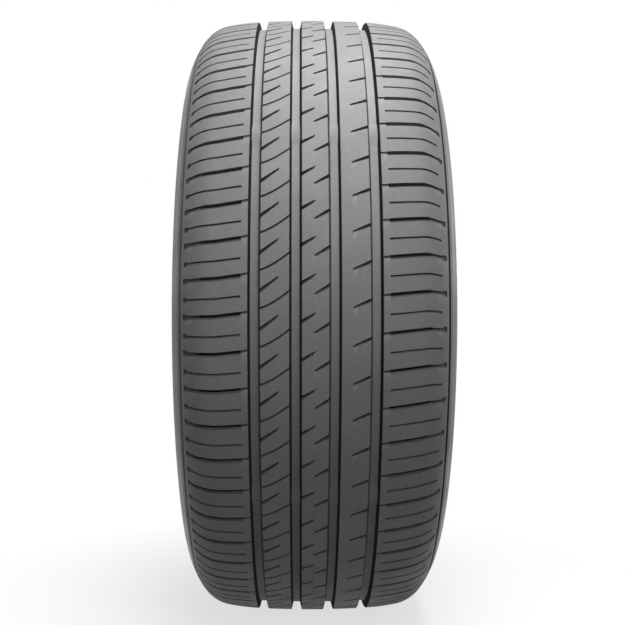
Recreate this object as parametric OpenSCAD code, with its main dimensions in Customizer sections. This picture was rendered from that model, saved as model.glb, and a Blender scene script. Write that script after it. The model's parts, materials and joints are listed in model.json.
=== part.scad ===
/* [Tyre] */
// Diameter over the middle of the tread
overall_d = 653.2; // [646:0.1:676]
// Width over the sidewalls at their widest
section_w = 252.4; // [248:0.1:260]
// Diameter of the two bead seats
seat_d = 462; // [452:0.1:468]
// Distance between the heels of the two beads
bead_span = 215.9; // [208:0.1:220]

/* [Crown] */
// Radius of the crown across the middle of the tread
middle_r = 1000; // [800:10:2000]
// Half width of that middle arc
middle_half = 55; // [53:0.5:57]
// Radius of the crown over the shoulder blocks
block_r = 260; // [230:5:330]
// Distance from the widest point in to the start of the shoulder corner
shoulder_in = 38.2; // [36:0.1:41]
// Radius of the shoulder corner
corner_r = 38; // [34:0.5:41]
// Slope in degrees at which the corner meets the sidewall
corner_slope = 50; // [47:1:53]

/* [Main grooves] */
// Distance of the two inner grooves from the middle of the tread
inner_groove_y = 16.6; // [15.5:0.1:17.5]
// Distance of the two outer grooves from the middle of the tread
outer_groove_y = 51.3; // [50:0.1:52.5]
// Width of each main groove at the surface
groove_w = 10.4; // [8.5:0.1:11.2]
// Depth of each main groove
groove_depth = 8; // [7.4:0.1:8.8]
// Lean of the groove walls in degrees
groove_lean = 13; // [8:0.5:17]
// Number of wear bars round each groove
wear_bars = 6; // [4:1:8]
// Height of a wear bar above the groove floor
wear_bar_h = 1.6; // [1.2:0.1:1.9]
// Length of a wear bar along its groove
wear_bar_len = 9; // [6:0.5:14]

/* [Shoulder blocks] */
// Number of times the tread pattern repeats round the tyre
pitches = 64; // [60:1:68]
// Width of the lateral grooves over the blocks
lateral_w = 2.8; // [2.2:0.1:3.4]
// Depth of the lateral grooves
lateral_depth = 6.5; // [5.5:0.1:7]
// Width of the left lateral grooves where they run out down the shoulder
left_tail_w = 2.4; // [1.8:0.1:2.7]
// Width of the right lateral grooves where they run out down the shoulder
right_tail_w = 1.6; // [1.2:0.1:2.2]
// Depth of a lateral groove where its tail begins
neck_depth = 2.6; // [2:0.1:4]
// Depth of a lateral groove at its outer end
tail_depth = 1.2; // [0.9:0.1:1.8]
// Distance from the widest point in to the outer ends of the lateral grooves
lateral_in = 14.7; // [14.2:0.1:16.5]
// Length of the shallow tie between a block and its main groove
tie_len = 5.8; // [4:0.1:8]
// Width of the cut across a tie
tie_w = 2.2; // [1.6:0.1:2.6]
// Depth of the cut across a tie
tie_depth = 1; // [0.7:0.1:1.5]
// Distance from the widest point in to the outer ends of the shoulder sipes
sipe_in = 19.2; // [18:0.1:24]
// Distance from the widest point in to the edge line at the foot of each shoulder
edge_line_in = 11.4; // [10:0.1:12.2]
// Width of the edge line
edge_line_w = 2; // [1.4:0.1:2.6]
// Depth of the edge line
edge_line_depth = 1; // [0.6:0.1:1.4]

/* [Ribs] */
// Width of a rib slot at the main groove that it opens into
slot_w = 2.6; // [2:0.1:3]
// Width of a rib slot at its blind end
slot_tip_w = 1.2; // [0.9:0.1:1.6]
// Depth of the rib slots
slot_depth = 5.5; // [4:0.1:6]
// Width of the sipes
sipe_w = 1.1; // [0.8:0.05:1.3]
// Depth of the sipes
sipe_depth = 4.5; // [3.5:0.1:5.5]
// Reach of the long slots into the rib left of the middle
long_reach = 15.3; // [12:0.1:18]
// Slope of those long slots in degrees
long_turn = 37; // [32:1:42]
// Slope of the sipes that cross the same rib in degrees
cross_turn = 30; // [26:1:34]
// Reach of the slots into the middle rib from its left side
middle_reach_left = 11.5; // [9:0.1:13]
// Reach of the slots into the middle rib from its right side
middle_reach_right = 12.5; // [11:0.1:15]
// Slope of the slots in the middle rib in degrees
middle_turn = 31; // [27:1:35]
// Reach of the slots into the rib right of the middle
short_reach = 15; // [12:0.1:18]
// Slope of those slots in degrees
short_turn = 23; // [19:1:27]

/* [Casing] */
// Thickness of rubber and belts at the middle of the tread
crown_gauge = 16.5; // [15.5:0.1:19]
// Thickness of the sidewall at its widest
side_gauge = 8.5; // [7.5:0.1:10]
// Width of a bead from heel to toe
bead_w = 22; // [20.5:0.1:23.5]
// Radius of the bead heel
heel_r = 6.5; // [5.5:0.1:7.5]
// Radius of the flange hollow above the heel
flange_r = 9.5; // [8.5:0.1:10.5]
// Height of the rim guard rib above the bead seat
guard_h = 26; // [24:0.1:28]
// Thickness of the rim guard rib
guard_w = 8; // [6:0.1:10]
// Stand of the rim guard rib beyond the sidewall
guard_stand = 0.8; // [0.4:0.1:1.4]

/* [Hidden] */

// Places of the pattern on one pitch, as fractions of a pitch up from its start
left_block = 0;
left_sipe = 0.46;
long_slot = 0.635;
cross_sipe = 0.183;
middle_left = 0.836;
middle_right = 0.774;
short_slot = 0.39;
right_block = 0.535;
right_sipe = 0.045;

// Rise of the lateral grooves at the main groove, the tie, the bend and the outer end
left_rise = [3.6, 1.2, -1.4, -1.9];
right_rise = [-0.9, -0.3, 3.2, 2.2];
// Rise of the sipes at the tie and at their outer end
left_sipe_rise = [1, -1.5];
right_sipe_rise = [-0.8, 1.3];

// Distances from the shoulder corner in to the left bend and out to the neck of the tail
left_bend_in = 4;
neck_out = 9;
// Length by which the left sipes run on past the right ones
left_sipe_on = 2;

// Height by which cutting shapes stand clear of the tread
clear = 6;
// Length by which a cut runs on into a main groove
overrun = 2;
// Depth by which a wear bar is rooted in the rubber round it
bar_root = 0.5;
// Chamfer of the bead toe
toe_chamfer = 1.4;
// Straight face between the heel and the flange hollow
heel_face = 1.5;
// Rise of the bead's inner face above the toe before it leans outwards
toe_rise = 12;
// Reach of the liner's bend below and above the widest point
liner_below = 20;
liner_above = 25;
// Reach and fall of the liner's bend beside the flat of the crown
liner_side = 16;
liner_fall = 3.2;

tyre_r = overall_d / 2;
half_w = section_w / 2;
block_half = half_w - shoulder_in;
lateral_end = half_w - lateral_in;
sipe_end = half_w - sipe_in;
edge_line_y = half_w - edge_line_in;
neck = block_half + neck_out;
seat_r = seat_d / 2;
heel_y = bead_span / 2;
toe_y = heel_y - bead_w;
pitch_deg = 360 / pitches;
pitch_len = PI * overall_d / pitches;
outer_edge = outer_groove_y + groove_w / 2;
tie_end = outer_edge + tie_len;
rib_outer = outer_groove_y - groove_w / 2;
rib_inner = inner_groove_y + groove_w / 2;
middle_edge = inner_groove_y - groove_w / 2;

// Slopes at the ends of the middle arc and of the block arc
middle_slope = asin(middle_half / middle_r);
block_slope = asin(sin(middle_slope) + (block_half - middle_half) / block_r);

// Drop of the surface and half width at the ends of the arcs
middle_drop = middle_r * (1 - cos(middle_slope));
block_drop = middle_drop + block_r * (cos(middle_slope) - cos(block_slope));
corner_half = block_half + corner_r * (sin(corner_slope) - sin(block_slope));
corner_drop = block_drop + corner_r * (cos(block_slope) - cos(corner_slope));

// The sidewall arc leaves the corner at its slope and stands upright at the widest point
side_r = (half_w - corner_half) / (1 - sin(corner_slope));
widest_r = tyre_r - corner_drop - side_r * cos(corner_slope);

// Drop along an arc that starts at from_y with the slope from_slope
function arc_drop(y, from_y, from_slope, r) =
    r * (cos(from_slope) - cos(asin(min(1, sin(from_slope) + (y - from_y) / r))));
function drop(y) =
    y <= middle_half ? arc_drop(y, 0, 0, middle_r) :
    y <= block_half ? middle_drop + arc_drop(y, middle_half, middle_slope, block_r) :
    y <= corner_half ? block_drop + arc_drop(y, block_half, block_slope, corner_r) :
    corner_drop + arc_drop(y, corner_half, corner_slope, side_r);

// Radius of the tread surface at distance y from the middle
function crown_at(y) = tyre_r - drop(abs(y));

// Points along an arc of the section between two slopes, its start left out
function arc_points(y, r, radius, slope_a, slope_b, steps) =
    [for (i = [1:steps]) let (s = slope_a + (slope_b - slope_a) * i / steps)
        [y + radius * (sin(s) - sin(slope_a)), r - radius * (cos(slope_a) - cos(s))]];

// Points along a cubic curve, its start left out
function curve(a, b, c, d, steps) =
    [for (i = [1:steps]) let (t = i / steps, u = 1 - t)
        u * u * u * a + 3 * u * u * t * b + 3 * u * t * t * c + t * t * t * d];

// Half of the outline from the middle of the tread to the widest point
function tread_line() = concat(
    [for (y = [0, inner_groove_y, middle_half, (middle_half + block_half) / 2, block_half])
        [y, crown_at(y)]],
    arc_points(block_half, tyre_r - block_drop, corner_r, block_slope, corner_slope, 4),
    arc_points(corner_half, tyre_r - corner_drop, side_r, corner_slope, 90, 5)
);

// The outline goes on over the rim guard, the flange hollow, the heel and the seat to the toe
guard_r = seat_r + guard_h;
flange_foot = seat_r + heel_r + heel_face;
function bead_line() = concat(
    [[half_w - guard_stand / 2, guard_r + guard_w * 3 / 4]],
    [for (side = [1, -1]) [half_w + guard_stand, guard_r + side * guard_w / 4]],
    [for (a = [72:-18:0]) [heel_y + flange_r * (1 - cos(a)), flange_foot + flange_r * sin(a)]],
    [for (a = [0:18:90]) [heel_y - heel_r * (1 - cos(a)), seat_r + heel_r * (1 - sin(a))]],
    [[toe_y + toe_chamfer, seat_r], [toe_y, seat_r + toe_chamfer]]
);

// The liner climbs from the toe to the sidewall and turns in under the crown
liner_half = block_half - 4;
liner_wide = half_w - side_gauge;
function liner_line() = concat(
    curve([toe_y, seat_r + toe_chamfer], [toe_y, seat_r + toe_chamfer + toe_rise],
        [liner_wide, widest_r - liner_below], [liner_wide, widest_r], 8),
    curve([liner_wide, widest_r], [liner_wide, widest_r + liner_above],
        [liner_half + liner_side, crown_at(liner_half) - crown_gauge - liner_fall],
        [liner_half, crown_at(liner_half) - crown_gauge], 8),
    [for (y = [middle_half, middle_half / 2, 0]) [y, crown_at(y) - crown_gauge]]
);

// Section points are distance from the middle and radius, and the revolve needs them the other way
function across(points) = [for (p = points) [p[1], p[0]]];
function mirrored(points) = [for (i = [len(points) - 1:-1:0]) [-points[i][0], points[i][1]]];

module section() {
    half = concat(tread_line(), bead_line(), liner_line());
    other_half = mirrored([for (i = [1:len(half) - 2]) half[i]]);
    polygon(across(concat(half, other_half)));
}

module groove_shape(y) {
    r = crown_at(y);
    half_top = groove_w / 2 + clear * tan(groove_lean);
    half_floor = groove_w / 2 - groove_depth * tan(groove_lean);
    polygon(across([
        [y - half_top, r + clear],
        [y + half_top, r + clear],
        [y + half_floor, r - groove_depth],
        [y - half_floor, r - groove_depth]
    ]));
}

module edge_line_shape(y) {
    translate([crown_at(y), y]) rotate(45) square([edge_line_depth, edge_line_w], center = true);
}

module casing() {
    rotate([-90, 0, 0]) rotate_extrude($fn = 360) difference() {
        section();
        for (side = [-1, 1], y = [inner_groove_y, outer_groove_y]) groove_shape(side * y);
        for (side = [-1, 1]) edge_line_shape(side * edge_line_y);
    }
}

// Low bars across the groove floors, rooted in the floor and in both walls
module wear_bars_all() {
    half_bar = groove_w / 2 - (groove_depth - wear_bar_h) * tan(groove_lean) + bar_root;
    for (k = [0:wear_bars - 1], side = [-1, 1], y = [inner_groove_y, outer_groove_y])
        rotate([0, -(k + 0.5) * 360 / wear_bars, 0])
            translate([crown_at(y) - groove_depth - bar_root, side * y - half_bar, -wear_bar_len / 2])
                cube([wear_bar_h + bar_root, 2 * half_bar, wear_bar_len]);
}

// A straight cut from a to b in the plan of the tread, with a floor that follows the crown
module cut(a, b, width, depth_a, depth_b, steps) {
    run = norm(b - a);
    middle = (a + b) / 2;
    turn = atan2(b[1] - a[1], b[0] - a[0]);
    floor = [for (i = [0:steps]) let (t = i / steps, y = a[0] + (b[0] - a[0]) * t)
        [crown_at(y) - depth_a - (depth_b - depth_a) * t, run * (t - 0.5)]];
    top = tyre_r + clear;
    rotate([0, -middle[1] / tyre_r * 180 / PI, 0]) translate([0, middle[0], 0]) rotate([turn, 0, 0])
        linear_extrude(width, center = true)
            polygon(concat([[top, -run / 2]], floor, [[top, run / 2]]));
}

// A slot that narrows from width_a at a to width_b at b, with a flat floor
module slot(a, b, width_a, width_b, depth) {
    middle = (a + b) / 2;
    along = (b - a) / 2;
    aside = [-along[1], along[0]] / norm(along) / 2;
    plan = [-along + aside * width_a, -along - aside * width_a,
        along - aside * width_b, along + aside * width_b];
    rotate([0, -middle[1] / tyre_r * 180 / PI, 0])
        translate([crown_at(middle[0]) - depth, middle[0], 0]) rotate([0, 90, 0])
            linear_extrude(depth + clear) polygon([for (p = plan) [-p[1], p[0]]]);
}

// The lateral groove over a shoulder block: the cut across its tie, the groove and its tail.
// Where it bends before its neck, the groove has one more stretch.
module lateral_cuts(side, bend, rise, block, tail_w) {
    z = block * pitch_len;
    start = [side * (outer_edge - overrun), z + rise[0]];
    tie = [side * tie_end, z + rise[1]];
    elbow = [side * bend, z + rise[2]];
    end = [side * lateral_end, z + rise[3]];
    waist = elbow + (end - elbow) * max(0, neck - bend) / (lateral_end - bend);
    cut(start, tie, tie_w, tie_depth, tie_depth, 1);
    cut(tie, elbow, lateral_w, lateral_depth, lateral_depth, bend < neck ? 1 : 2);
    if (bend < neck) cut(elbow, waist, lateral_w, lateral_depth, lateral_depth, 1);
    cut(waist, end, tail_w, neck_depth, tail_depth, 1);
}

module shoulder_sipe(side, rise, sipe, end_y) {
    z = sipe * pitch_len;
    a = [side * tie_end, z + rise[0]];
    b = [side * end_y, z + rise[1]];
    cut(a, b, sipe_w, sipe_depth, sipe_depth / 2, 1);
}

// A slot whose wide end opens into a main groove at y and whose blind end lies reach away
module rib_slot(y, phase, reach, turn, wide) {
    a = [y, phase * pitch_len];
    b = a + reach * [1, tan(turn)];
    back = -sign(reach) * overrun * [1, tan(turn)];
    slot(a + back, b, wide, slot_tip_w, slot_depth);
}

module rib_cuts() {
    rib_slot(-rib_outer, long_slot, long_reach, long_turn, slot_w);
    rib_slot(-middle_edge, middle_left, middle_reach_left, middle_turn, slot_w);
    rib_slot(middle_edge, middle_right, -middle_reach_right, middle_turn, slot_w);
    rib_slot(rib_outer, short_slot, -short_reach, short_turn, slot_w);
    across_rib = [rib_outer - rib_inner, (rib_outer - rib_inner) * tan(cross_turn)];
    past_edge = overrun / 2 * [1, tan(cross_turn)];
    a = [-rib_outer, cross_sipe * pitch_len];
    slot(a - past_edge, a + across_rib + past_edge, sipe_w, sipe_w, sipe_depth);
}

module tyre() {
    color([0.2, 0.2, 0.21]) difference() {
        union() {
            casing();
            wear_bars_all();
        }
        for (k = [0:pitches - 1]) rotate([0, -k * pitch_deg, 0]) {
            lateral_cuts(-1, block_half - left_bend_in, left_rise, left_block, left_tail_w);
            lateral_cuts(1, neck, right_rise, right_block, right_tail_w);
            shoulder_sipe(-1, left_sipe_rise, left_sipe, sipe_end + left_sipe_on);
            shoulder_sipe(1, right_sipe_rise, right_sipe, sipe_end);
            rib_cuts();
        }
    }
}

tyre();
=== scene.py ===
import json
import math

import bpy
import numpy as np
from bpy.props import (
    BoolProperty, FloatProperty, FloatVectorProperty, IntProperty, PointerProperty)
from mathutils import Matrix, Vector


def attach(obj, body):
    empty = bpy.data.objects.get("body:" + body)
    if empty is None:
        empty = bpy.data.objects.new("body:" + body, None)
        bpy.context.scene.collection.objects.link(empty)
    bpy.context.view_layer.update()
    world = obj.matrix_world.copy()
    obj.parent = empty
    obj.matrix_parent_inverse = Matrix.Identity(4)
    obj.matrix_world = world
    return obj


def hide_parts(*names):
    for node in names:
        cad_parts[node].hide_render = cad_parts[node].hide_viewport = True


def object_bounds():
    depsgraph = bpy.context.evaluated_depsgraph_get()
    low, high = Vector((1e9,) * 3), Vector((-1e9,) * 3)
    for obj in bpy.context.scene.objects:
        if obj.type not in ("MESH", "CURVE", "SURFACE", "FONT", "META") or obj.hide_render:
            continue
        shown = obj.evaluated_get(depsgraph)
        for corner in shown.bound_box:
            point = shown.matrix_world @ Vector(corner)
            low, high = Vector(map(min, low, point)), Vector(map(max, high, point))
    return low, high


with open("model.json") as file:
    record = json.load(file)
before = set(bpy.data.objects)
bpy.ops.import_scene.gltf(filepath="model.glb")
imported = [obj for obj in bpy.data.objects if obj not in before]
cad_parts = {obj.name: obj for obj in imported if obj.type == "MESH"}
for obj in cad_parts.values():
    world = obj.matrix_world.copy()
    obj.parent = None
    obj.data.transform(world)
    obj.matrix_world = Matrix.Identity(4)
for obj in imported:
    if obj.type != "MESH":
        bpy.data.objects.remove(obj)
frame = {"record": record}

bl_info = {
    "name": "Car Tyre",
    "version": (1, 0, 0),
    "blender": (4, 5, 0),
    "location": "View3D > Sidebar > Tyre",
    "description": "Builds a road tyre with its tread pattern, its rubber and a pale studio",
    "category": "Add Mesh",
}

MM = 0.001
CAD_LOW, CAD_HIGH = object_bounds()
TYRE_R = (CAD_HIGH.z - CAD_LOW.z) / 2
GUARD_HALF = (CAD_HIGH.y - CAD_LOW.y) / 2
BEAD_SEATS = next(m for m in frame["record"]["mounts"] if m["name"] == "bead_seats")
SEAT_R = BEAD_SEATS["dims"]["r_mm"] * MM

# The floor, wall and shallow materials paint light and shade into the grooves and cuts: the groove
# floors are lightened as painted light, the walls and shallow cuts darkened as painted shade.
FINISHES = ("tread_rubber", "floor_rubber_painted_light", "wall_rubber_painted_shade", "slot_rubber",
            "shallow_rubber_painted_shade", "sidewall_rubber", "liner_rubber")
TREAD, FLOOR_PAINTED_LIGHT, DARK_PAINTED_SHADE, SLOT, PALE_PAINTED_SHADE, SIDEWALL, LINER = range(len(FINISHES))

# Lengths over which a cut steps, narrows and bends
STEP_GAP = 0.15 * MM
NECK_TAPER = 2 * MM
BEND_SOFTNESS = 2 * MM
# Fall of a bevel below a cut, as a share of its width
BEVEL_FALL = 0.7
# Spacing of the columns across the shoulders and across the ribs
SHOULDER_STEP = 3.6 * MM
RIB_STEP = 2.6 * MM
# Tread beyond the edge line, and the liner's turn inside the corner
EDGE_BAND = 3.6 * MM
LINER_TURN = 4 * MM
# Slopes of the sidewall, in degrees, at its fine ribs and below them
SIDE_RIB_SLOPES = (68, 71, 74)
SIDE_SLOPES = (78, 82, 86, 90)
SIDE_RIB_HALF = 0.8 * MM
FLOOR_HALF = 30


def length(name, millimetres, description):
    """A size that is written here in millimetres and kept in metres."""
    return FloatProperty(
        name=name, description=description, default=millimetres * MM, min=0,
        precision=5, subtype="DISTANCE", unit="LENGTH")


def angle(name, degrees, description):
    """An angle that is written here in degrees and kept in radians."""
    return FloatProperty(
        name=name, description=description, default=math.radians(degrees),
        subtype="ANGLE", unit="ROTATION")


def share(name, default, description):
    """A place on one pitch of the pattern, or another share of a whole."""
    return FloatProperty(
        name=name, description=description, default=default, min=0, max=1, subtype="FACTOR")


def rises(name, millimetres, description):
    """Heights or ways of a cut at its ends and bends, in order along the cut."""
    return FloatVectorProperty(
        name=name, description=description, default=[m * MM for m in millimetres],
        size=len(millimetres), precision=5, unit="LENGTH")


def colour(name, rgb, description):
    """A linear colour."""
    return FloatVectorProperty(
        name=name, description=description, default=rgb, size=3, subtype="COLOR", min=0, max=1)


class TyreSection(bpy.types.PropertyGroup):
    """Sizes of the tyre's section"""

    middle_r: length("Middle radius", 1000, "Radius of the crown across its middle")
    middle_half: length("Middle half width", 55, "Half width of the middle arc")
    block_r: length("Block radius", 260, "Radius of the crown over the shoulder blocks")
    block_half: length("Block half width", 88, "Half width at which the corner starts")
    corner_r: length("Corner radius", 38, "Radius of the shoulder corner")
    corner_slope: angle("Corner slope", 50, "Slope at which the corner meets the sidewall")
    edge_line_y: length("Edge line", 114.8, "Distance of the edge line from the middle")
    edge_line_w: length("Edge line width", 2, "Width of the edge line")
    edge_line_depth: length("Edge line depth", 1, "Depth of the edge line")
    crown_gauge: length("Crown gauge", 16.5, "Thickness at the middle of the tread")
    side_gauge: length("Side gauge", 8.5, "Thickness of the sidewall at its widest")
    side_rib: length("Side rib", 0.35, "Stand of the fine ribs round the sidewall")
    guard_stand: length("Guard stand", 0.8, "Stand of the rim guard beyond the sidewall")
    guard_h: length("Guard height", 26, "Height of the rim guard above the bead seat")
    guard_w: length("Guard width", 8, "Thickness of the rim guard")
    heel_y: length("Heel", 107.95, "Distance of the bead heels from the middle")
    heel_r: length("Heel radius", 6.5, "Radius of the bead heel")
    heel_face: length("Heel face", 1.5, "Straight face between the heel and the hollow")
    flange_r: length("Flange radius", 9.5, "Radius of the hollow for the rim flange")
    bead_w: length("Bead width", 22, "Width of a bead from heel to toe")
    toe_chamfer: length("Toe chamfer", 1.4, "Chamfer of the bead toe")
    toe_rise: length("Toe rise", 12, "Rise of the inner face before it leans outwards")
    liner_below: length("Liner below", 20, "Reach of the liner's bend below the widest point")
    liner_above: length("Liner above", 25, "Reach of the liner's bend above the widest point")
    liner_side: length("Liner side", 16, "Reach of the liner's bend beside the crown")
    liner_fall: length("Liner fall", 3.2, "Fall of the liner's bend beside the crown")
    side_faces: IntProperty(
        name="Side faces", description="Faces round a sidewall", default=192, min=48)
    liner_faces: IntProperty(
        name="Liner faces", description="Faces round the liner", default=128, min=48)


class TreadPattern(bpy.types.PropertyGroup):
    """Sizes of the tread pattern"""

    pitches: IntProperty(
        name="Pitches", description="Repeats of the pattern round the tyre", default=64, min=24)
    inner_groove_y: length("Inner groove", 16.6, "Distance of the inner grooves from the middle")
    outer_groove_y: length("Outer groove", 51.3, "Distance of the outer grooves from the middle")
    groove_w: length("Groove width", 10.4, "Width of a main groove at the surface")
    groove_depth: length("Groove depth", 8, "Depth of a main groove")
    groove_lean: angle("Groove lean", 13, "Lean of the groove walls")
    lip: length("Lip", 0.4, "Chamfer along the edges of the main grooves")
    draft: length("Draft", 0.12, "Narrowing of every slot towards its floor")
    lateral_bevel: length("Lateral bevel", 1.5, "Bevel below the lateral grooves")
    slot_bevel: length("Slot bevel", 0.9, "Bevel below the rib slots")
    sipe_bevel: length("Sipe bevel", 1.1, "Bevel below the sipes")
    # Cut faces deeper than the lip and down to this depth take the pale painted shade colour;
    # deeper faces take the slot colour.
    shallow: length("Shallow", 3, "Depth down to which a cut has the shallow finish")
    lateral_w: length("Lateral width", 2.8, "Width of the lateral grooves over the blocks")
    lateral_depth: length("Lateral depth", 6.5, "Depth of the lateral grooves")
    lateral_end: length("Lateral end", 111.5, "Distance of their outer ends from the middle")
    neck_y: length("Neck", 97, "Half width at which the lateral grooves narrow")
    neck_depth: length("Neck depth", 2.6, "Depth of a lateral groove past its neck")
    left_tail_w: length("Left tail width", 2.4, "Width of the left grooves down the shoulder")
    right_tail_w: length("Right tail width", 1.6, "Width of the right grooves down the shoulder")
    tail_depth: length("Tail depth", 1.2, "Depth of a lateral groove at its outer end")
    tie_len: length("Tie length", 5.8, "Length of the tie beside the main groove")
    tie_w: length("Tie width", 2.2, "Width of the cut across a tie")
    tie_depth: length("Tie depth", 1, "Depth of the cut across a tie")
    left_bend: length("Left bend", 84, "Half width at which the left lateral grooves bend")
    right_bend: length("Right bend", 96, "Half width at which the right lateral grooves bend")
    left_rise: rises("Left rise", (2.7, 1.2, -1.4, -1.9), "Rise of the left lateral grooves")
    right_rise: rises("Right rise", (-0.9, -0.3, 3.2, 2.2), "Rise of the right lateral grooves")
    mark_y: length("Mark", 109.3, "Distance of the end marks from the middle")
    mark_w: length("Mark width", 3, "Width of an end mark across the shoulder")
    mark_len: length("Mark length", 3.9, "Length of an end mark round the tyre")
    mark_depth: length("Mark depth", 2.2, "Depth of an end mark")
    left_sipe_rise: rises("Left sipe rise", (1.1, -1.2, -1.6), "Rise of the left sipes")
    right_sipe_rise: rises("Right sipe rise", (-0.9, 2.2, 1.1), "Rise of the right sipes")
    sipe_w: length("Sipe width", 1.1, "Width of the sipes")
    sipe_depth: length("Sipe depth", 4.5, "Depth of the sipes")
    sipe_end: length("Sipe end", 107, "Distance of the right shoulder sipes' outer ends")
    left_sipe_on: length("Left sipe run-on", 2, "Length by which the left sipes run on")
    slot_w: length("Slot width", 2.6, "Width of a rib slot at its mouth")
    slot_tip_w: length("Slot tip width", 1.2, "Width of a rib slot at its blind end")
    slot_depth: length("Slot depth", 5.5, "Depth of the rib slots")
    slot_tip_depth: length("Slot tip depth", 0.5, "Depth of a rib slot at its blind end")
    slot_ramp: share("Slot ramp", 0.75, "Share of a slot over which its floor rises")
    long_reach: length("Long reach", 15.3, "Reach of the long slots left of the middle")
    long_turn: angle("Long turn", 37, "Slope of the long slots")
    cross_run: rises(
        "Cross run", (0, 3.3, 8.2, 12.1, 17.6, 23.1, 26.5), "Way of a crossing sipe")
    cross_rise: rises(
        "Cross rise", (0, 0.9, 3.4, 5.5, 9.3, 13.4, 15.9), "Its rise along that way")
    middle_reach_left: length("Middle reach left", 11.5, "Reach into the middle rib from the left")
    middle_reach_right: length(
        "Middle reach right", 12.5, "Reach into the middle rib from the right")
    middle_turn: angle("Middle turn", 31, "Slope of the slots in the middle rib")
    short_reach: length("Short reach", 15, "Reach of the slots right of the middle")
    short_turn: angle("Short turn", 23, "Slope of those slots")
    left_block: share("Left block", 0, "Place of the left lateral grooves on a pitch")
    left_sipe: share("Left sipe", 0.46, "Place of the left sipes on a pitch")
    long_slot: share("Long slot", 0.635, "Place of the long slots on a pitch")
    cross_sipe: share("Cross sipe", 0.183, "Place of the crossing sipes on a pitch")
    middle_left: share("Middle left", 0.836, "Place of the middle rib's left slots on a pitch")
    middle_right: share("Middle right", 0.774, "Place of the middle rib's right slots on a pitch")
    short_slot: share("Short slot", 0.39, "Place of the slots right of the middle on a pitch")
    right_block: share("Right block", 0.535, "Place of the right lateral grooves on a pitch")
    right_sipe: share("Right sipe", 0.045, "Place of the right sipes on a pitch")
    wear_bars: IntProperty(
        name="Wear bars", description="Wear bars round each groove", default=6, min=4)
    wear_bar_h: length("Bar height", 1.6, "Height of a wear bar")
    wear_bar_len: length("Bar length", 9, "Length of a wear bar")
    wear_bar_ramp: length("Bar ramp", 9, "Length of the ramp at each end of a wear bar")


class RubberLook(bpy.types.PropertyGroup):
    """Colours and gloss of the rubber, with the painted light of the groove floors and the painted
    shade of the walls and cuts
    """

    tread: colour("Tread", (0.115, 0.115, 0.116), "Colour of the tread")
    # Painted light: the groove floors and wear bars are a little lighter than the tread, to make
    # up for the shade in the grooves.
    floor: colour("Groove floors", (0.125, 0.125, 0.126), "Colour of the groove floors")
    # Painted shade: the groove walls are near black for the shade deep in the grooves, far darker
    # than the rubber.
    wall_shade: colour("Groove walls", (0.008, 0.008, 0.009), "Colour of the groove walls")
    slot: colour("Slots", (0.11, 0.11, 0.111), "Colour inside the slots and sipes")
    # Painted shade: bevels, ties, tails, end marks, the left edge line and three groove walls are
    # darkened below the tread for the shade in them.
    shallow: colour("Shallow cuts", (0.042, 0.042, 0.043), "Colour of bevels, ties and tails")
    sidewall: colour("Sidewall", (0.1, 0.1, 0.102), "Colour of the sidewalls")
    liner: colour("Liner", (0.06, 0.06, 0.062), "Colour of the liner")
    roughness: share("Roughness", 0.55, "Roughness of the tread")
    gloss_index: FloatProperty(
        name="Gloss index", description="Index of refraction of the rubber's surface",
        default=1.32, min=1)
    side_index: FloatProperty(
        name="Side index", description="Index of refraction of the sidewalls' surface",
        default=1.42, min=1)
    wall_index: FloatProperty(
        name="Wall index", description="Index of refraction inside the grooves and slots",
        default=1.2, min=1)
    side_roughness: share("Side roughness", 0.32, "Roughness of the sidewalls")
    variation: share("Variation", 0.12, "Share by which the colour varies over the rubber")


class StudioSettings(bpy.types.PropertyGroup):
    """Camera, light and floor"""

    distance: length("Distance", 1127.4, "Distance of the camera from the middle of the tyre")
    sidestep: FloatProperty(
        name="Sidestep", description="Offset of the camera along the tyre's axis",
        default=-0.0122, subtype="DISTANCE", unit="LENGTH")
    aim: FloatVectorProperty(
        name="Aim", description="Point that the camera looks at", default=(0, 0.0013, 0.0028),
        size=3, precision=5, subtype="TRANSLATION", unit="LENGTH")
    lens: FloatProperty(
        name="Lens", description="Focal length on a 36 mm wide sensor", default=55.99,
        subtype="DISTANCE_CAMERA", unit="CAMERA")
    row_heights: FloatVectorProperty(
        name="Row heights", description="Angles of the row of softboxes above the level",
        default=[math.radians(a) for a in (20, 50, 80)], size=3, subtype="EULER",
        unit="ROTATION")
    row_powers: FloatVectorProperty(
        name="Row powers", description="Powers of the row of softboxes in watts",
        default=(2.4, 7.0, 7.7), size=3, min=0)
    row_shift: FloatProperty(
        name="Row shift", description="Shift of that row along the tyre's axis",
        default=0.07, subtype="DISTANCE", unit="LENGTH")
    row_w: length("Row width", 400, "Width of those softboxes across the tread")
    row_len: length("Row length", 400, "Length of those softboxes round the tyre")
    side_powers: FloatVectorProperty(
        name="Side powers", description="Powers of the left and the right softbox in watts",
        default=(1.4, 5.3), size=2, min=0)
    side_back: length("Side setback", 500, "Distance of the side softboxes behind the axle")
    side_size: length("Side size", 800, "Width and length of the side softboxes")
    row_distance: length("Row distance", 950, "Distance of that row from the axle")
    side_distance: length("Side distance", 1600, "Distance of the side softboxes to each side")
    surround: share("Surround", 0.12, "Brightness of the room as the rubber receives it")
    floor_bounce: share("Floor bounce", 0.3, "Share of the light that the floor gives back")
    floor_shade: share("Floor shade", 0.3, "Share of the floor's white that shadows can take")
    shade_reach: length("Shade reach", 450, "Distance at which the floor has faded to white")
    show_floor: BoolProperty(
        name="Floor", description="Whether the studio has its floor", default=True)


def arc_drop(y, from_y, from_slope, radius):
    """Drop along an arc of the section that starts at from_y with the slope from_slope."""
    sine = np.clip(math.sin(from_slope) + (y - from_y) / radius, -1, 1)
    return radius * (math.cos(from_slope) - np.sqrt(1 - sine ** 2))


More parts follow.
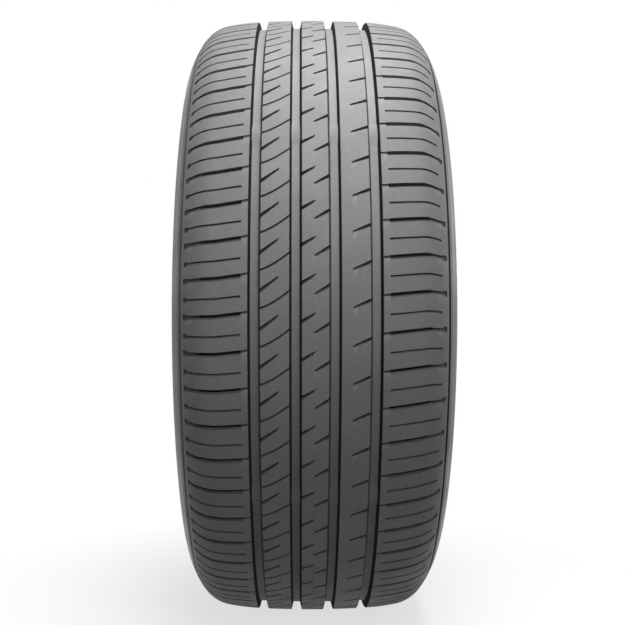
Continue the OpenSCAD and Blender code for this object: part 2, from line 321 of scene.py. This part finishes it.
def cubic(a, b, c, d, steps):
    """Points along a cubic curve, its start left out."""
    a, b, c, d = (np.array(p, float) for p in (a, b, c, d))
    t = (np.arange(steps) + 1)[:, None] / steps
    u = 1 - t
    return list(u ** 3 * a + 3 * u * u * t * b + 3 * u * t * t * c + t ** 3 * d)


def spread(stops, step):
    """The stops in order, with even places between those that lie over a step apart."""
    places = [stops[0]]
    for low, high in zip(stops, stops[1:]):
        count = max(1, math.ceil((high - low) / step - 1e-6))
        places += [low + (high - low) * (i + 1) / count for i in range(count)]
    return places


class Outline:
    """The outline of the tyre's section, as distances from the middle and radii."""

    def __init__(self, section):
        self.section = s = section
        self.half_w = GUARD_HALF - s.guard_stand
        self.middle_slope = math.asin(s.middle_half / s.middle_r)
        block_rise = (s.block_half - s.middle_half) / s.block_r
        self.block_slope = math.asin(math.sin(self.middle_slope) + block_rise)
        corner_rise = math.sin(s.corner_slope) - math.sin(self.block_slope)
        self.corner_half = s.block_half + s.corner_r * corner_rise
        self.middle_drop = arc_drop(s.middle_half, 0, 0, s.middle_r)
        self.block_drop = self.middle_drop + arc_drop(
            s.block_half, s.middle_half, self.middle_slope, s.block_r)
        self.corner_drop = self.block_drop + arc_drop(
            self.corner_half, s.block_half, self.block_slope, s.corner_r)
        self.side_r = (self.half_w - self.corner_half) / (1 - math.sin(s.corner_slope))
        self.widest_r = TYRE_R - self.corner_drop - self.side_r * math.cos(s.corner_slope)

    def crown(self, y):
        """Radius of the outer surface at a distance from the middle."""
        s = self.section
        y = np.abs(np.asarray(y, float))
        drop = np.select(
            [y <= s.middle_half, y <= s.block_half, y <= self.corner_half],
            [arc_drop(y, 0, 0, s.middle_r),
             self.middle_drop + arc_drop(y, s.middle_half, self.middle_slope, s.block_r),
             self.block_drop + arc_drop(y, s.block_half, self.block_slope, s.corner_r)],
            self.corner_drop + arc_drop(y, self.corner_half, s.corner_slope, self.side_r))
        return TYRE_R - drop

    def side_point(self, slope, stand=0.0):
        """Point of the sidewall arc where the surface has a slope, raised by a stand."""
        radius = self.side_r + stand
        return (self.half_w - self.side_r + radius * math.sin(slope),
                self.widest_r + radius * math.cos(slope))

    def side_line(self, start_y):
        """The sidewall from the tread's edge to the rim guard, with its fine ribs."""
        s = self.section
        start = math.asin((start_y - self.half_w + self.side_r) / self.side_r)
        rib_half = SIDE_RIB_HALF / self.side_r
        stops = [(start, 0.0)]
        for degrees in SIDE_RIB_SLOPES:
            middle = math.radians(degrees)
            stops += [(middle - 2 * rib_half, 0), (middle - rib_half / 2, s.side_rib),
                      (middle + rib_half / 2, s.side_rib), (middle + 2 * rib_half, 0)]
        stops += [(math.radians(d), 0) for d in SIDE_SLOPES]
        return [self.side_point(slope, stand) for slope, stand in stops]

    def guard_line(self):
        """The rim guard, from its foot on the sidewall to its lower edge."""
        s = self.section
        middle = SEAT_R + s.guard_h
        face = self.half_w + s.guard_stand
        return [
            (self.half_w - s.guard_stand / 2, middle + s.guard_w * 3 / 4),
            (self.half_w + s.guard_stand / 2, middle + s.guard_w * 0.4),
            (face, middle + s.guard_w * 0.22),
            (face, middle - s.guard_w * 0.22),
            (face - 1.5 * s.guard_stand, middle - s.guard_w * 0.4),
        ]

    def bead_line(self):
        """The flange hollow, the heel, the seat and the toe."""
        s = self.section
        foot = SEAT_R + s.heel_r + s.heel_face
        hollow = [(s.heel_y + s.flange_r * (1 - math.cos(a)), foot + s.flange_r * math.sin(a))
                  for a in np.radians(np.arange(72, -1, -12))]
        heel = [(s.heel_y - s.heel_r * (1 - math.cos(a)), SEAT_R + s.heel_r * (1 - math.sin(a)))
                for a in np.radians(np.arange(0, 91, 15))]
        toe_y = s.heel_y - s.bead_w
        return hollow + heel + [
            (toe_y + s.toe_chamfer, SEAT_R), (toe_y, SEAT_R + s.toe_chamfer)]

    def liner_line(self):
        """The liner, from the bead toe to the middle of the crown."""
        s = self.section
        toe = (s.heel_y - s.bead_w, SEAT_R + s.toe_chamfer)
        wide = (self.half_w - s.side_gauge, self.widest_r)
        turn_y = s.block_half - LINER_TURN
        turn = (turn_y, self.crown(turn_y) - s.crown_gauge)
        climb = cubic(toe, (toe[0], toe[1] + s.toe_rise),
                      (wide[0], wide[1] - s.liner_below), wide, 10)
        bend = cubic(wide, (wide[0], wide[1] + s.liner_above),
                     (turn[0] + s.liner_side, turn[1] - s.liner_fall), turn, 10)
        flat = [(y, self.crown(y) - s.crown_gauge)
                for y in (s.middle_half, s.middle_half / 2, 0)]
        return climb + bend + flat


class Cut:
    """A slot or sipe of the pattern, as it lies over the width of one rib."""

    def __init__(self, places, heights, widths, depths, bevel, lean=0.0, flat=True):
        self.places = places
        self.heights = heights
        self.widths = widths
        self.depths = depths
        self.bevel = bevel
        self.lean = lean
        self.flat = flat

    def centre(self, y, soften):
        """Height of the cut's middle above the start of its pitch."""
        return np.mean([np.interp(y + shift, self.places, self.heights)
                        for shift in (-soften, 0, soften)])

    def rows(self, y, soften, draft):
        """Heights and depths of the rows that make the cut at one width."""
        middle = self.centre(y, soften)
        half = np.interp(y, *self.widths) / 2 / math.cos(self.lean)
        depth = np.interp(y, *self.depths)
        bevel = min(self.bevel, depth * BEVEL_FALL)
        low = [(middle - half - self.bevel, 0), (middle - half, bevel * BEVEL_FALL)]
        if self.flat:
            return low + [(middle - half + draft, depth), (middle + half - draft, depth),
                          (middle + half, 0)]
        return low + [(middle, depth), (middle + half, 0)]


class Skin:
    """Rings of points round the axle, joined side by side into one closed surface."""

    def __init__(self):
        self.points = []
        self.faces = []
        self.finishes = []
        self.count = 0

    def add_points(self, points):
        start = self.count
        self.points.append(np.asarray(points, float))
        self.count += len(points)
        return start

    def ring(self, angles, y, radius):
        angles = np.asarray(angles, float)
        radius = np.broadcast_to(radius, angles.shape)
        points = np.column_stack(
            [radius * np.cos(angles), np.full(angles.shape, y), radius * np.sin(angles)])
        return self.add_points(points), angles

    def add_faces(self, faces, finish):
        self.faces += faces
        self.finishes += finish if isinstance(finish, list) else [finish] * len(faces)

    def strip(self, left, right, finish):
        """Four-sided faces between two rings whose points lie side by side."""
        count = len(left[1])
        here = np.arange(count)
        above = (here + 1) % count
        quads = np.column_stack(
            [left[0] + here, right[0] + here, right[0] + above, left[0] + above])
        self.add_faces(quads.tolist(), finish)

    def zipper(self, left, right, finish):
        """Triangles between two rings whose points are spaced in different ways."""
        turn = 2 * math.pi
        start = left[1][0]
        offsets = (right[1] - start + math.pi) % turn - math.pi
        first = int(np.argmin(np.abs(offsets)))
        places = np.roll(right[1], -first)
        places = offsets[first] + start + (places - places[0]) % turn
        order = np.roll(np.arange(len(places)), -first)
        a = np.append(left[1], start + turn)
        b = np.append(places, places[0] + turn)
        i = j = 0
        faces = []
        while i < len(a) - 1 or j < len(b) - 1:
            here_a = left[0] + i % len(left[1])
            here_b = right[0] + int(order[j % len(order)])
            if j == len(b) - 1 or (i < len(a) - 1 and a[i + 1] <= b[j + 1]):
                i += 1
                faces.append([here_a, here_b, left[0] + i % len(left[1])])
            else:
                j += 1
                faces.append([here_a, here_b, right[0] + int(order[j % len(order)])])
        self.add_faces(faces, finish)

    def block(self, turn, low, high, finish):
        """A closed block whose foot and top are each two sides, a radius and a half length."""
        spin = np.array([math.cos(turn), math.sin(turn)])
        side = np.array([-spin[1], spin[0]])
        points = []
        for y_a, y_b, radius, half in (low, high):
            for y, along in ((y_a, -half), (y_b, -half), (y_b, half), (y_a, half)):
                x, z = spin * radius + side * along
                points.append((x, y, z))
        start = self.add_points(points)
        around = [[start + i, start + (i + 1) % 4, start + 4 + (i + 1) % 4, start + 4 + i]
                  for i in range(4)]
        base = [start + i for i in (3, 2, 1, 0)]
        top = [start + 4 + i for i in range(4)]
        self.add_faces(around + [base, top], finish)


class TyreSkin:
    """Builds the whole tyre as one surface from its section and its pattern."""

    def __init__(self, section, pattern):
        self.section = section
        self.pattern = pattern
        self.outline = Outline(section)
        self.skin = Skin()
        p = pattern
        self.pitch = 2 * math.pi * TYRE_R / p.pitches
        half = p.groove_w / 2
        self.outer_edge = p.outer_groove_y + half
        self.rib_outer = p.outer_groove_y - half
        self.rib_inner = p.inner_groove_y + half
        self.middle_edge = p.inner_groove_y - half
        self.tie_end = self.outer_edge + p.tie_len
        self.mark_in = p.mark_y - p.mark_w / 2
        self.mark_out = p.mark_y + p.mark_w / 2
        self.tread_edge = section.edge_line_y + EDGE_BAND

    def shoulder_cut(self, side, block, bend, rise, tail_w):
        """The lateral groove: the cut across the tie, the groove, its tail and its end mark."""
        p, gap = self.pattern, STEP_GAP
        tie, mark = self.tie_end, self.mark_in
        neck, tail = p.neck_y - NECK_TAPER, p.neck_y + NECK_TAPER
        base = block * self.pitch
        places = [self.outer_edge, tie, bend, p.lateral_end]
        widths = ([tie - gap, tie + gap, neck, tail, mark - gap, mark + gap, self.mark_out],
                  [p.tie_w, p.lateral_w, p.lateral_w, tail_w, tail_w, p.mark_len, p.mark_len])
        depths = ([tie - gap, tie + gap, neck, tail, p.lateral_end, p.lateral_end + gap],
                  [p.tie_depth, p.lateral_depth, p.lateral_depth, p.neck_depth,
                   p.tail_depth, 0])
        return self.sided(side, places, [base + r for r in rise], widths, depths,
                          p.lateral_bevel)

    def shoulder_sipe(self, side, phase, bend, rise, end, mark):
        """The sipe between two lateral grooves, with or without its end mark."""
        p, gap = self.pattern, STEP_GAP
        tie, mark_in, mark_out = self.tie_end, self.mark_in, self.mark_out
        base = phase * self.pitch
        places = [tie, bend, end]
        widths = ([mark_in - gap, mark_in + gap, mark_out],
                  [p.sipe_w, mark or p.sipe_w, mark or p.sipe_w])
        tail = p.sipe_depth / 2
        if mark:
            depths = ([tie - gap, tie + gap, mark_in - gap, mark_in + gap,
                       mark_out, mark_out + gap],
                      [0, p.sipe_depth, tail, p.mark_depth, p.mark_depth, 0])
        else:
            depths = ([tie - gap, tie + gap, end, end + gap], [0, p.sipe_depth, tail, 0])
        return self.sided(side, places, [base + r for r in rise], widths, depths,
                          p.sipe_bevel, False)

    def sided(self, side, places, heights, widths, depths, bevel, flat=True):
        """A shoulder cut on the left or right, its places turned for the side."""
        def turned(table):
            keys, values = table
            if side > 0:
                return list(keys), list(values)
            return [-k for k in reversed(keys)], list(reversed(values))
        places, heights = turned((places, heights))
        return Cut(places, heights, turned(widths), turned(depths), bevel, flat=flat)

    def rib_slot(self, mouth, phase, reach, turn):
        """A slot from a main groove into a rib, narrowing to its blind end."""
        p, gap = self.pattern, STEP_GAP
        way = math.copysign(1, reach)
        tip = mouth + reach
        far = [mouth - 40 * MM, mouth + 40 * MM]
        heights = [phase * self.pitch + (y - mouth) * math.tan(turn) for y in far]
        inside, outside = tip - way * gap, tip + way * gap
        widths = sorted([(mouth, p.slot_w), (tip, p.slot_tip_w)])
        depths = sorted([(tip - reach * p.slot_ramp, p.slot_depth),
                         (inside, p.slot_tip_depth), (outside, 0.0)])
        return Cut(far, heights, tuple(zip(*widths)), tuple(zip(*depths)), p.slot_bevel,
                   lean=turn)

    def cross_sipe(self):
        """The curved sipe that crosses the rib left of the middle from groove to groove."""
        p = self.pattern
        places = [run - self.rib_outer for run in p.cross_run]
        heights = [p.cross_sipe * self.pitch + rise for rise in p.cross_rise]
        lean = math.atan2(p.cross_rise[-1], p.cross_run[-1])
        return Cut(places, heights, ([0], [p.sipe_w]), ([0], [p.sipe_depth]),
                   p.sipe_bevel, lean=lean, flat=False)

    def rib(self, columns, cuts, fillers, soften=0.0):
        """The rows of one rib over its columns, as rings with their materials, the painted shades
        of the cuts among them.
        """
        p = self.pattern
        rings = []
        for y, ceiling, wall_shade in columns:
            crown = float(self.outline.crown(y))
            rows = [cut.rows(y, soften, p.draft) for cut in cuts]
            rows.append([(s + self.pitch, d) for s, d in rows[0][:1]])
            line = []
            for here, following in zip(rows, rows[1:]):
                low, high = here[-1][0], following[0][0]
                line += here
                line += [(low + (high - low) * (i + 1) / (fillers + 1), 0)
                         for i in range(fillers)]
            heights, depths = np.array(line).T
            turns = np.arange(p.pitches)[:, None]
            angles = ((heights + turns * self.pitch) / TYRE_R).ravel()
            radii = np.tile(np.minimum(ceiling, crown - depths), p.pitches)
            # 0 at the surface, 1 in a shallow cut or a bevel, 2 in a deep cut
            level = (radii < crown - 1.5 * p.lip) * 1 + (radii < crown - p.shallow) * 1
            rings.append((self.skin.ring(angles, y, radii), level, wall_shade))
        for (left, left_level, left_wall_shade), (right, right_level, right_wall_shade) in zip(
                rings, rings[1:]):
            level = np.maximum(left_level, right_level)
            level = np.maximum(level, np.roll(level, -1))
            wall_shade = left_wall_shade or right_wall_shade
            # Faces at the surface take the tread colour; shallow cuts and bevels take the pale
            # painted shade and deep cuts the slot colour, while faces on a groove wall or the edge
            # line take that column's painted shade.
            kinds = (TREAD, wall_shade or PALE_PAINTED_SHADE, wall_shade or SLOT)
            self.skin.strip(left, right, [kinds[k] for k in level])
        return rings[0][0], rings[-1][0]

    def wall_columns(self, groove_y, way, wall_shade=DARK_PAINTED_SHADE):
        """The floor's edge and the chamfered lip of a groove wall, from the floor outwards; the
        wall between them takes a painted shade colour, near black unless another is given.
        """
        p = self.pattern
        centre = float(self.outline.crown(groove_y))
        half = p.groove_w / 2
        floor_y = groove_y + way * (half - p.groove_depth * math.tan(p.groove_lean))
        edge = groove_y + way * half
        lip = float(self.outline.crown(edge)) - p.lip
        return [(floor_y, centre - p.groove_depth, wall_shade), (edge, lip, None)]

    def surface(self, places):
        return [(y, float(self.outline.crown(y)), None) for y in places]

    def shoulder(self, side):
        """A shoulder, from the outer groove's wall over the corner to the tread's edge."""
        p, s, gap = self.pattern, self.section, STEP_GAP
        left = side < 0
        bend = p.left_bend if left else p.right_bend
        rise = p.left_rise if left else p.right_rise
        block = p.left_block if left else p.right_block
        sipe_phase = p.left_sipe if left else p.right_sipe
        tie, mark_in, mark_out = self.tie_end, self.mark_in, self.mark_out
        line_half = (s.edge_line_w + s.edge_line_depth) / 2 / math.sqrt(2)
        places = spread(sorted([
            self.outer_edge + p.lip, tie - gap, tie + gap, p.left_bend,
            p.neck_y - NECK_TAPER, p.neck_y + NECK_TAPER, p.sipe_end, p.sipe_end + gap,
            mark_in - gap, mark_in + gap, mark_out, p.lateral_end, p.lateral_end + gap,
            s.edge_line_y - line_half, s.edge_line_y, s.edge_line_y + line_half,
            self.tread_edge]), SHOULDER_STEP)
        columns = self.wall_columns(p.outer_groove_y, 1) + self.surface(places)
        foot = float(self.outline.crown(s.edge_line_y)) - s.edge_line_depth
        # The edge line is painted shade: pale on the left, near black on the right.
        line = PALE_PAINTED_SHADE if left else DARK_PAINTED_SHADE
        columns = [(y, foot, line) if abs(y - s.edge_line_y) < gap else (y, r, wall_shade)
                   for y, r, wall_shade in columns]
        tail_w = p.left_tail_w if left else p.right_tail_w
        groove = self.shoulder_cut(side, block, bend, rise, tail_w)
        if left:
            sipe = self.shoulder_sipe(side, sipe_phase, bend, p.left_sipe_rise,
                                      p.sipe_end + p.left_sipe_on, p.mark_len)
        else:
            sipe = self.shoulder_sipe(side, sipe_phase, bend, p.right_sipe_rise, p.sipe_end, 0)
        cuts = [groove, sipe] if block < sipe_phase else [sipe, groove]
        if left:
            columns = [(-y, r, wall_shade) for y, r, wall_shade in reversed(columns)]
        return self.rib(columns, cuts, 1, soften=BEND_SOFTNESS)

    def middle_ribs(self):
        """The three ribs between the shoulders, from left to right."""
        p, gap = self.pattern, STEP_GAP

        def columns(left_groove, right_groove, tips, left_wall_shade, right_wall_shade):
            left = left_groove + p.groove_w / 2
            right = right_groove - p.groove_w / 2
            tips = [t + way * gap for t in tips for way in (-1, 1)]
            places = spread(sorted([left + p.lip, right - p.lip] + tips), RIB_STEP)
            return (self.wall_columns(left_groove, 1, left_wall_shade) + self.surface(places)
                    + self.wall_columns(right_groove, -1, right_wall_shade)[::-1])

        long_slot = self.rib_slot(-self.rib_outer, p.long_slot, p.long_reach, p.long_turn)
        from_left = self.rib_slot(
            -self.middle_edge, p.middle_left, p.middle_reach_left, p.middle_turn)
        from_right = self.rib_slot(
            self.middle_edge, p.middle_right, -p.middle_reach_right, p.middle_turn)
        short_slot = self.rib_slot(self.rib_outer, p.short_slot, -p.short_reach, p.short_turn)
        outer, inner = p.outer_groove_y, p.inner_groove_y
        # Each groove wall takes a painted shade: the pale one on the three walls that catch more
        # light, the near black one on the others.
        return [
            self.rib(columns(-outer, -inner, [p.long_reach - self.rib_outer], PALE_PAINTED_SHADE, DARK_PAINTED_SHADE),
                     [self.cross_sipe(), long_slot], 1),
            self.rib(columns(-inner, inner, [p.middle_reach_left - self.middle_edge,
                                             self.middle_edge - p.middle_reach_right],
                             DARK_PAINTED_SHADE, PALE_PAINTED_SHADE),
                     [from_right, from_left], 1),
            self.rib(columns(inner, outer, [self.rib_outer - p.short_reach], DARK_PAINTED_SHADE, PALE_PAINTED_SHADE),
                     [short_slot], 3),
        ]

    def wear_bars(self):
        """Low bars across the groove floors, rooted in the floor and in both walls."""
        p = self.pattern
        root = 0.5 * MM
        for side in (-1, 1):
            for groove_y in (p.inner_groove_y, p.outer_groove_y):
                floor = float(self.outline.crown(groove_y)) - p.groove_depth
                half = (p.groove_w / 2 + root
                        - (p.groove_depth - p.wear_bar_h) * math.tan(p.groove_lean))
                y_a, y_b = side * groove_y - half, side * groove_y + half
                for k in range(p.wear_bars):
                    # Wear bars take the groove floors' painted light colour.
                    self.skin.block(
                        (k + 0.5) * 2 * math.pi / p.wear_bars,
                        (y_a, y_b, floor - root, p.wear_bar_len / 2 + p.wear_bar_ramp),
                        (y_a, y_b, floor + p.wear_bar_h, p.wear_bar_len / 2), FLOOR_PAINTED_LIGHT)

    def lathe(self, points, faces, finish):
        """Rings of a plain stretch of the section, turned round the axle."""
        angles = np.arange(faces) * 2 * math.pi / faces
        rings = [self.skin.ring(angles, y, r) for y, r in points]
        for left, right in zip(rings, rings[1:]):
            self.skin.strip(left, right, finish)
        return rings[0], rings[-1]

    def build(self):
        s = self.section
        side = self.outline.side_line(self.tread_edge)[1:]
        outside = side + self.outline.guard_line() + self.outline.bead_line()
        inside = self.outline.liner_line()
        inside = inside + [(-y, r) for y, r in reversed(inside[:-1])]
        bands = [self.shoulder(-1)] + self.middle_ribs() + [self.shoulder(1)]
        right = self.lathe(outside, s.side_faces, SIDEWALL)
        liner = self.lathe(inside, s.liner_faces, LINER)
        left = self.lathe([(-y, r) for y, r in reversed(outside)], s.side_faces, SIDEWALL)
        for here, following in zip(bands, bands[1:]):
            # Groove floors between the bands, lightened as painted light.
            self.skin.zipper(here[1], following[0], FLOOR_PAINTED_LIGHT)
        self.skin.zipper(bands[-1][1], right[0], SIDEWALL)
        self.skin.zipper(right[1], liner[0], LINER)
        self.skin.zipper(liner[1], left[0], LINER)
        self.skin.zipper(left[1], bands[0][0], SIDEWALL)
        self.wear_bars()
        return self.skin


class Nodes:
    """Shader nodes of one material, added and linked in order."""

    def __init__(self, name):
        self.material = bpy.data.materials.new(name)
        self.material.use_nodes = True
        self.tree = self.material.node_tree
        self.shader = self.tree.nodes["Principled BSDF"]

    def add(self, kind, inputs=None, **settings):
        node = self.tree.nodes.new("ShaderNode" + kind)
        for name, value in settings.items():
            setattr(node, name, value)
        for name, value in (inputs or {}).items():
            if isinstance(value, bpy.types.NodeSocket):
                self.tree.links.new(value, node.inputs[name])
            else:
                node.inputs[name].default_value = value
        return node

    def link(self, source, target):
        self.tree.links.new(source, target)

    def noise(self, scale, detail, where):
        return self.add("TexNoise", {
            "Vector": where, "Scale": scale, "Detail": detail}).outputs["Fac"]

    def between(self, value, low, high):
        return self.add("MapRange", {
            "Value": value, "From Min": 0.3, "From Max": 0.7,
            "To Min": low, "To Max": high}).outputs["Result"]


def rubber(name, base, roughness, index, look, grain, lines=None):
    """Rubber with faint patches of colour, a satin gloss and a fine moulded grain."""
    n = Nodes(name)
    where = n.add("TexCoord").outputs["Object"]
    patches = n.noise(14, 4, where)
    flecks = n.noise(260, 2, where)
    blend = n.add("Math", {0: patches, 1: flecks}, operation="ADD").outputs[0]
    blend = n.add("Math", {0: blend, 1: 0.5}, operation="MULTIPLY").outputs[0]
    tone = n.between(blend, 1 - look.variation, 1 + look.variation)
    shade = n.add("VectorMath", {0: base, "Scale": tone}, operation="SCALE").outputs[0]
    n.link(shade, n.shader.inputs["Base Color"])
    n.link(n.between(n.noise(30, 3, where), roughness - 0.05, roughness + 0.07),
           n.shader.inputs["Roughness"])
    height = n.add("Math", {0: n.noise(1600, 2, where), 1: grain}, operation="MULTIPLY").outputs[0]
    if lines:
        height = n.add("Math", {0: height, 1: lines(n, where)}, operation="ADD").outputs[0]
    bump = n.add("Bump", {"Height": height, "Strength": 1.0, "Distance": 0.0002})
    n.link(bump.outputs["Normal"], n.shader.inputs["Normal"])
    n.shader.inputs["IOR"].default_value = index
    return n.material


def rings_of_moulding(n, where):
    """Fine rings round the sidewall, as the mould leaves them."""
    parts = n.add("SeparateXYZ", {"Vector": where}).outputs
    flat = n.add("CombineXYZ", {"X": parts["X"], "Z": parts["Z"]}).outputs[0]
    radius = n.add("VectorMath", {0: flat}, operation="LENGTH").outputs["Value"]
    turns = n.add("Math", {0: radius, 1: 2600.0}, operation="MULTIPLY").outputs[0]
    wave = n.add("Math", {0: turns}, operation="SINE").outputs[0]
    return n.add("Math", {0: wave, 1: 0.12}, operation="MULTIPLY").outputs[0]


def bladder_lines(n, where):
    """Slanting lines on the liner, as the moulding bladder leaves them."""
    parts = n.add("SeparateXYZ", {"Vector": where}).outputs
    turn = n.add("Math", {0: parts["Z"], 1: parts["X"]}, operation="ARCTAN2").outputs[0]
    lean = n.add("Math", {0: parts["Y"], 1: 6.0}, operation="MULTIPLY").outputs[0]
    place = n.add("Math", {0: turn, 1: lean}, operation="ADD").outputs[0]
    turns = n.add("Math", {0: place, 1: 180.0}, operation="MULTIPLY").outputs[0]
    wave = n.add("Math", {0: turns}, operation="SINE").outputs[0]
    sharp = n.add("Math", {0: wave, 1: 6.0}, operation="POWER").outputs[0]
    return n.add("Math", {0: sharp, 1: 1.2}, operation="MULTIPLY").outputs[0]


def rubber_finishes(look):
    """The materials of the tyre, in the order of FINISHES."""
    gloss, inner = look.gloss_index, look.wall_index
    rough = look.roughness
    return [
        rubber(FINISHES[TREAD], look.tread, rough, gloss, look, 0.25),
        # The floor colour is painted light; the wall and shallow colours are painted shade.
        rubber(FINISHES[FLOOR_PAINTED_LIGHT], look.floor, rough, gloss, look, 0.3),
        rubber(FINISHES[DARK_PAINTED_SHADE], look.wall_shade, rough + 0.3, inner, look, 0.3),
        rubber(FINISHES[SLOT], look.slot, rough + 0.2, inner, look, 0.3),
        rubber(FINISHES[PALE_PAINTED_SHADE], look.shallow, rough + 0.1, gloss, look, 0.25),
        rubber(FINISHES[SIDEWALL], look.sidewall, look.side_roughness, look.side_index,
               look, 0.15, rings_of_moulding),
        rubber(FINISHES[LINER], look.liner, rough - 0.1, gloss, look, 0.1,
               bladder_lines),
    ]


class TYRE_OT_moulded_tyre(bpy.types.Operator):
    """Builds the tyre: its patterned tread, sidewalls, beads and liner"""

    bl_idname = "tyre.moulded_tyre"
    bl_label = "Moulded tyre"

    def execute(self, context):
        scene = context.scene
        skin = TyreSkin(scene.tyre_section, scene.tyre_pattern).build()
        mesh = bpy.data.meshes.new("moulded_tyre")
        mesh.from_pydata(np.vstack(skin.points).tolist(), [], skin.faces)
        for material in rubber_finishes(scene.tyre_look):
            mesh.materials.append(material)
        mesh.polygons.foreach_set("material_index", skin.finishes)
        mesh.polygons.foreach_set("use_smooth", [True] * len(mesh.polygons))
        mesh.set_sharp_from_angle(angle=math.radians(28))
        mesh.validate()
        piece = bpy.data.objects.new("moulded_tyre", mesh)
        scene.collection.objects.link(piece)
        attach(piece, "root")
        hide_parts("tyre")
        return {"FINISHED"}


def white_world(surround):
    """A room that is white where it is seen or mirrored, and dimmer as a light."""
    world = bpy.data.worlds.new("studio_room")
    world.use_nodes = True
    tree = world.node_tree
    seen = tree.nodes.new("ShaderNodeLightPath")
    either = tree.nodes.new("ShaderNodeMath")
    either.operation = "MAXIMUM"
    any_of = tree.nodes.new("ShaderNodeMath")
    any_of.operation = "MAXIMUM"
    strength = tree.nodes.new("ShaderNodeMapRange")
    strength.inputs["To Min"].default_value = surround
    strength.inputs["To Max"].default_value = 1
    links = tree.links
    links.new(seen.outputs["Is Camera Ray"], either.inputs[0])
    links.new(seen.outputs["Is Glossy Ray"], either.inputs[1])
    links.new(either.outputs[0], any_of.inputs[0])
    links.new(seen.outputs["Is Transmission Ray"], any_of.inputs[1])
    links.new(any_of.outputs[0], strength.inputs["Value"])
    background = tree.nodes["Background"]
    background.inputs["Color"].default_value = (1, 1, 1, 1)
    links.new(strength.outputs["Result"], background.inputs["Strength"])
    return world


def floor_finish(bounce, shade, reach):
    """A floor that is white where it is seen, and takes a shadow close to the tyre."""
    n = Nodes("studio_floor")
    n.tree.nodes.remove(n.shader)
    path = n.add("LightPath").outputs
    seen = n.add("Math", {0: path["Is Camera Ray"], 1: path["Is Glossy Ray"]},
                 operation="MAXIMUM").outputs[0]
    seen = n.add("Math", {0: seen, 1: path["Is Transmission Ray"]},
                 operation="MAXIMUM").outputs[0]
    where = n.add("TexCoord").outputs["Object"]
    away = n.add("VectorMath", {0: where}, operation="LENGTH").outputs["Value"]
    fade = n.add("MapRange", {"Value": away, "From Min": reach / 3, "From Max": reach,
                              "To Min": 1 - shade, "To Max": 1.0}).outputs["Result"]
    plain = n.add("Math", {0: seen, 1: fade}, operation="MULTIPLY").outputs[0]
    dull = n.add("BsdfDiffuse", {"Color": (bounce, bounce, bounce, 1)})
    lit = n.add("BsdfDiffuse", {"Color": (1, 1, 1, 1)})
    matt = n.add("MixShader", {0: seen, 1: dull.outputs[0], 2: lit.outputs[0]})
    glow = n.add("Emission", {"Color": (1, 1, 1, 1), "Strength": 1.0})
    mixed = n.add("MixShader", {0: plain, 1: matt.outputs[0], 2: glow.outputs[0]})
    n.link(mixed.outputs[0], n.tree.nodes["Material Output"].inputs["Surface"])
    return n.material


def softbox(name, place, width, height, power):
    """A rectangular lamp that faces the middle of the tyre."""
    lamp = bpy.data.lights.new(name, "AREA")
    lamp.shape = "RECTANGLE"
    lamp.size = width
    lamp.size_y = height
    lamp.energy = power
    obj = bpy.data.objects.new(name, lamp)
    obj.visible_camera = False
    obj.location = place
    obj.rotation_euler = (-Vector(place)).to_track_quat("-Z", "Y").to_euler()
    bpy.context.scene.collection.objects.link(obj)
    return obj


class TYRE_OT_studio(bpy.types.Operator):
    """Sets up the white studio: its floor, room, softboxes and camera"""

    bl_idname = "tyre.studio"
    bl_label = "Studio"

    def execute(self, context):
        scene = context.scene
        studio = scene.tyre_studio
        scene.view_settings.view_transform = "Standard"
        scene.world = white_world(studio.surround)
        if studio.show_floor:
            mesh = bpy.data.meshes.new("floor")
            half = FLOOR_HALF
            mesh.from_pydata([(-half, -half, 0), (half, -half, 0),
                              (half, half, 0), (-half, half, 0)], [], [(0, 1, 2, 3)])
            mesh.materials.append(floor_finish(
                studio.floor_bounce, studio.floor_shade, studio.shade_reach))
            floor = bpy.data.objects.new("floor", mesh)
            floor.location.z = CAD_LOW.z
            scene.collection.objects.link(floor)
        near, away = studio.row_distance, studio.side_distance
        for rise, power in zip(studio.row_heights, studio.row_powers):
            place = (near * math.cos(rise), studio.row_shift, near * math.sin(rise))
            softbox("row_softbox", place, studio.row_w, studio.row_len, power)
        for side, power in zip((-1, 1), studio.side_powers):
            place = (-studio.side_back, side * away, studio.side_back)
            softbox("side_softbox", place, studio.side_size, studio.side_size, power)
        camera = bpy.data.cameras.new("camera")
        camera.lens = studio.lens
        camera.sensor_width = 36
        eye = bpy.data.objects.new("camera", camera)
        eye.location = (studio.distance, studio.sidestep, 0)
        gaze = Vector(studio.aim) - eye.location
        eye.rotation_euler = gaze.to_track_quat("-Z", "Y").to_euler()
        scene.collection.objects.link(eye)
        scene.camera = eye
        return {"FINISHED"}


class TYRE_PT_panel(bpy.types.Panel):
    """Lists the steps that build the tyre and its studio"""

    bl_label = "Car tyre"
    bl_space_type = "VIEW_3D"
    bl_region_type = "UI"
    bl_category = "Tyre"

    def draw(self, context):
        for operator in OPERATORS:
            self.layout.operator(operator.bl_idname)
        for name in GROUPS:
            box = self.layout.box()
            settings = getattr(context.scene, name)
            box.label(text=settings.bl_rna.description)
            for key in settings.bl_rna.properties.keys():
                if key not in ("rna_type", "name"):
                    box.prop(settings, key)


OPERATORS = (TYRE_OT_moulded_tyre, TYRE_OT_studio)
GROUPS = {
    "tyre_section": TyreSection,
    "tyre_pattern": TreadPattern,
    "tyre_look": RubberLook,
    "tyre_studio": StudioSettings,
}


def register():
    for cls in (*GROUPS.values(), *OPERATORS, TYRE_PT_panel):
        bpy.utils.register_class(cls)
    for name, cls in GROUPS.items():
        setattr(bpy.types.Scene, name, PointerProperty(type=cls))


def unregister():
    for name in GROUPS:
        delattr(bpy.types.Scene, name)
    for cls in (TYRE_PT_panel, *OPERATORS, *GROUPS.values()):
        bpy.utils.unregister_class(cls)


def main():
    register()
    bpy.ops.tyre.moulded_tyre()
    bpy.ops.tyre.studio()


if __name__ == "__main__":
    main()
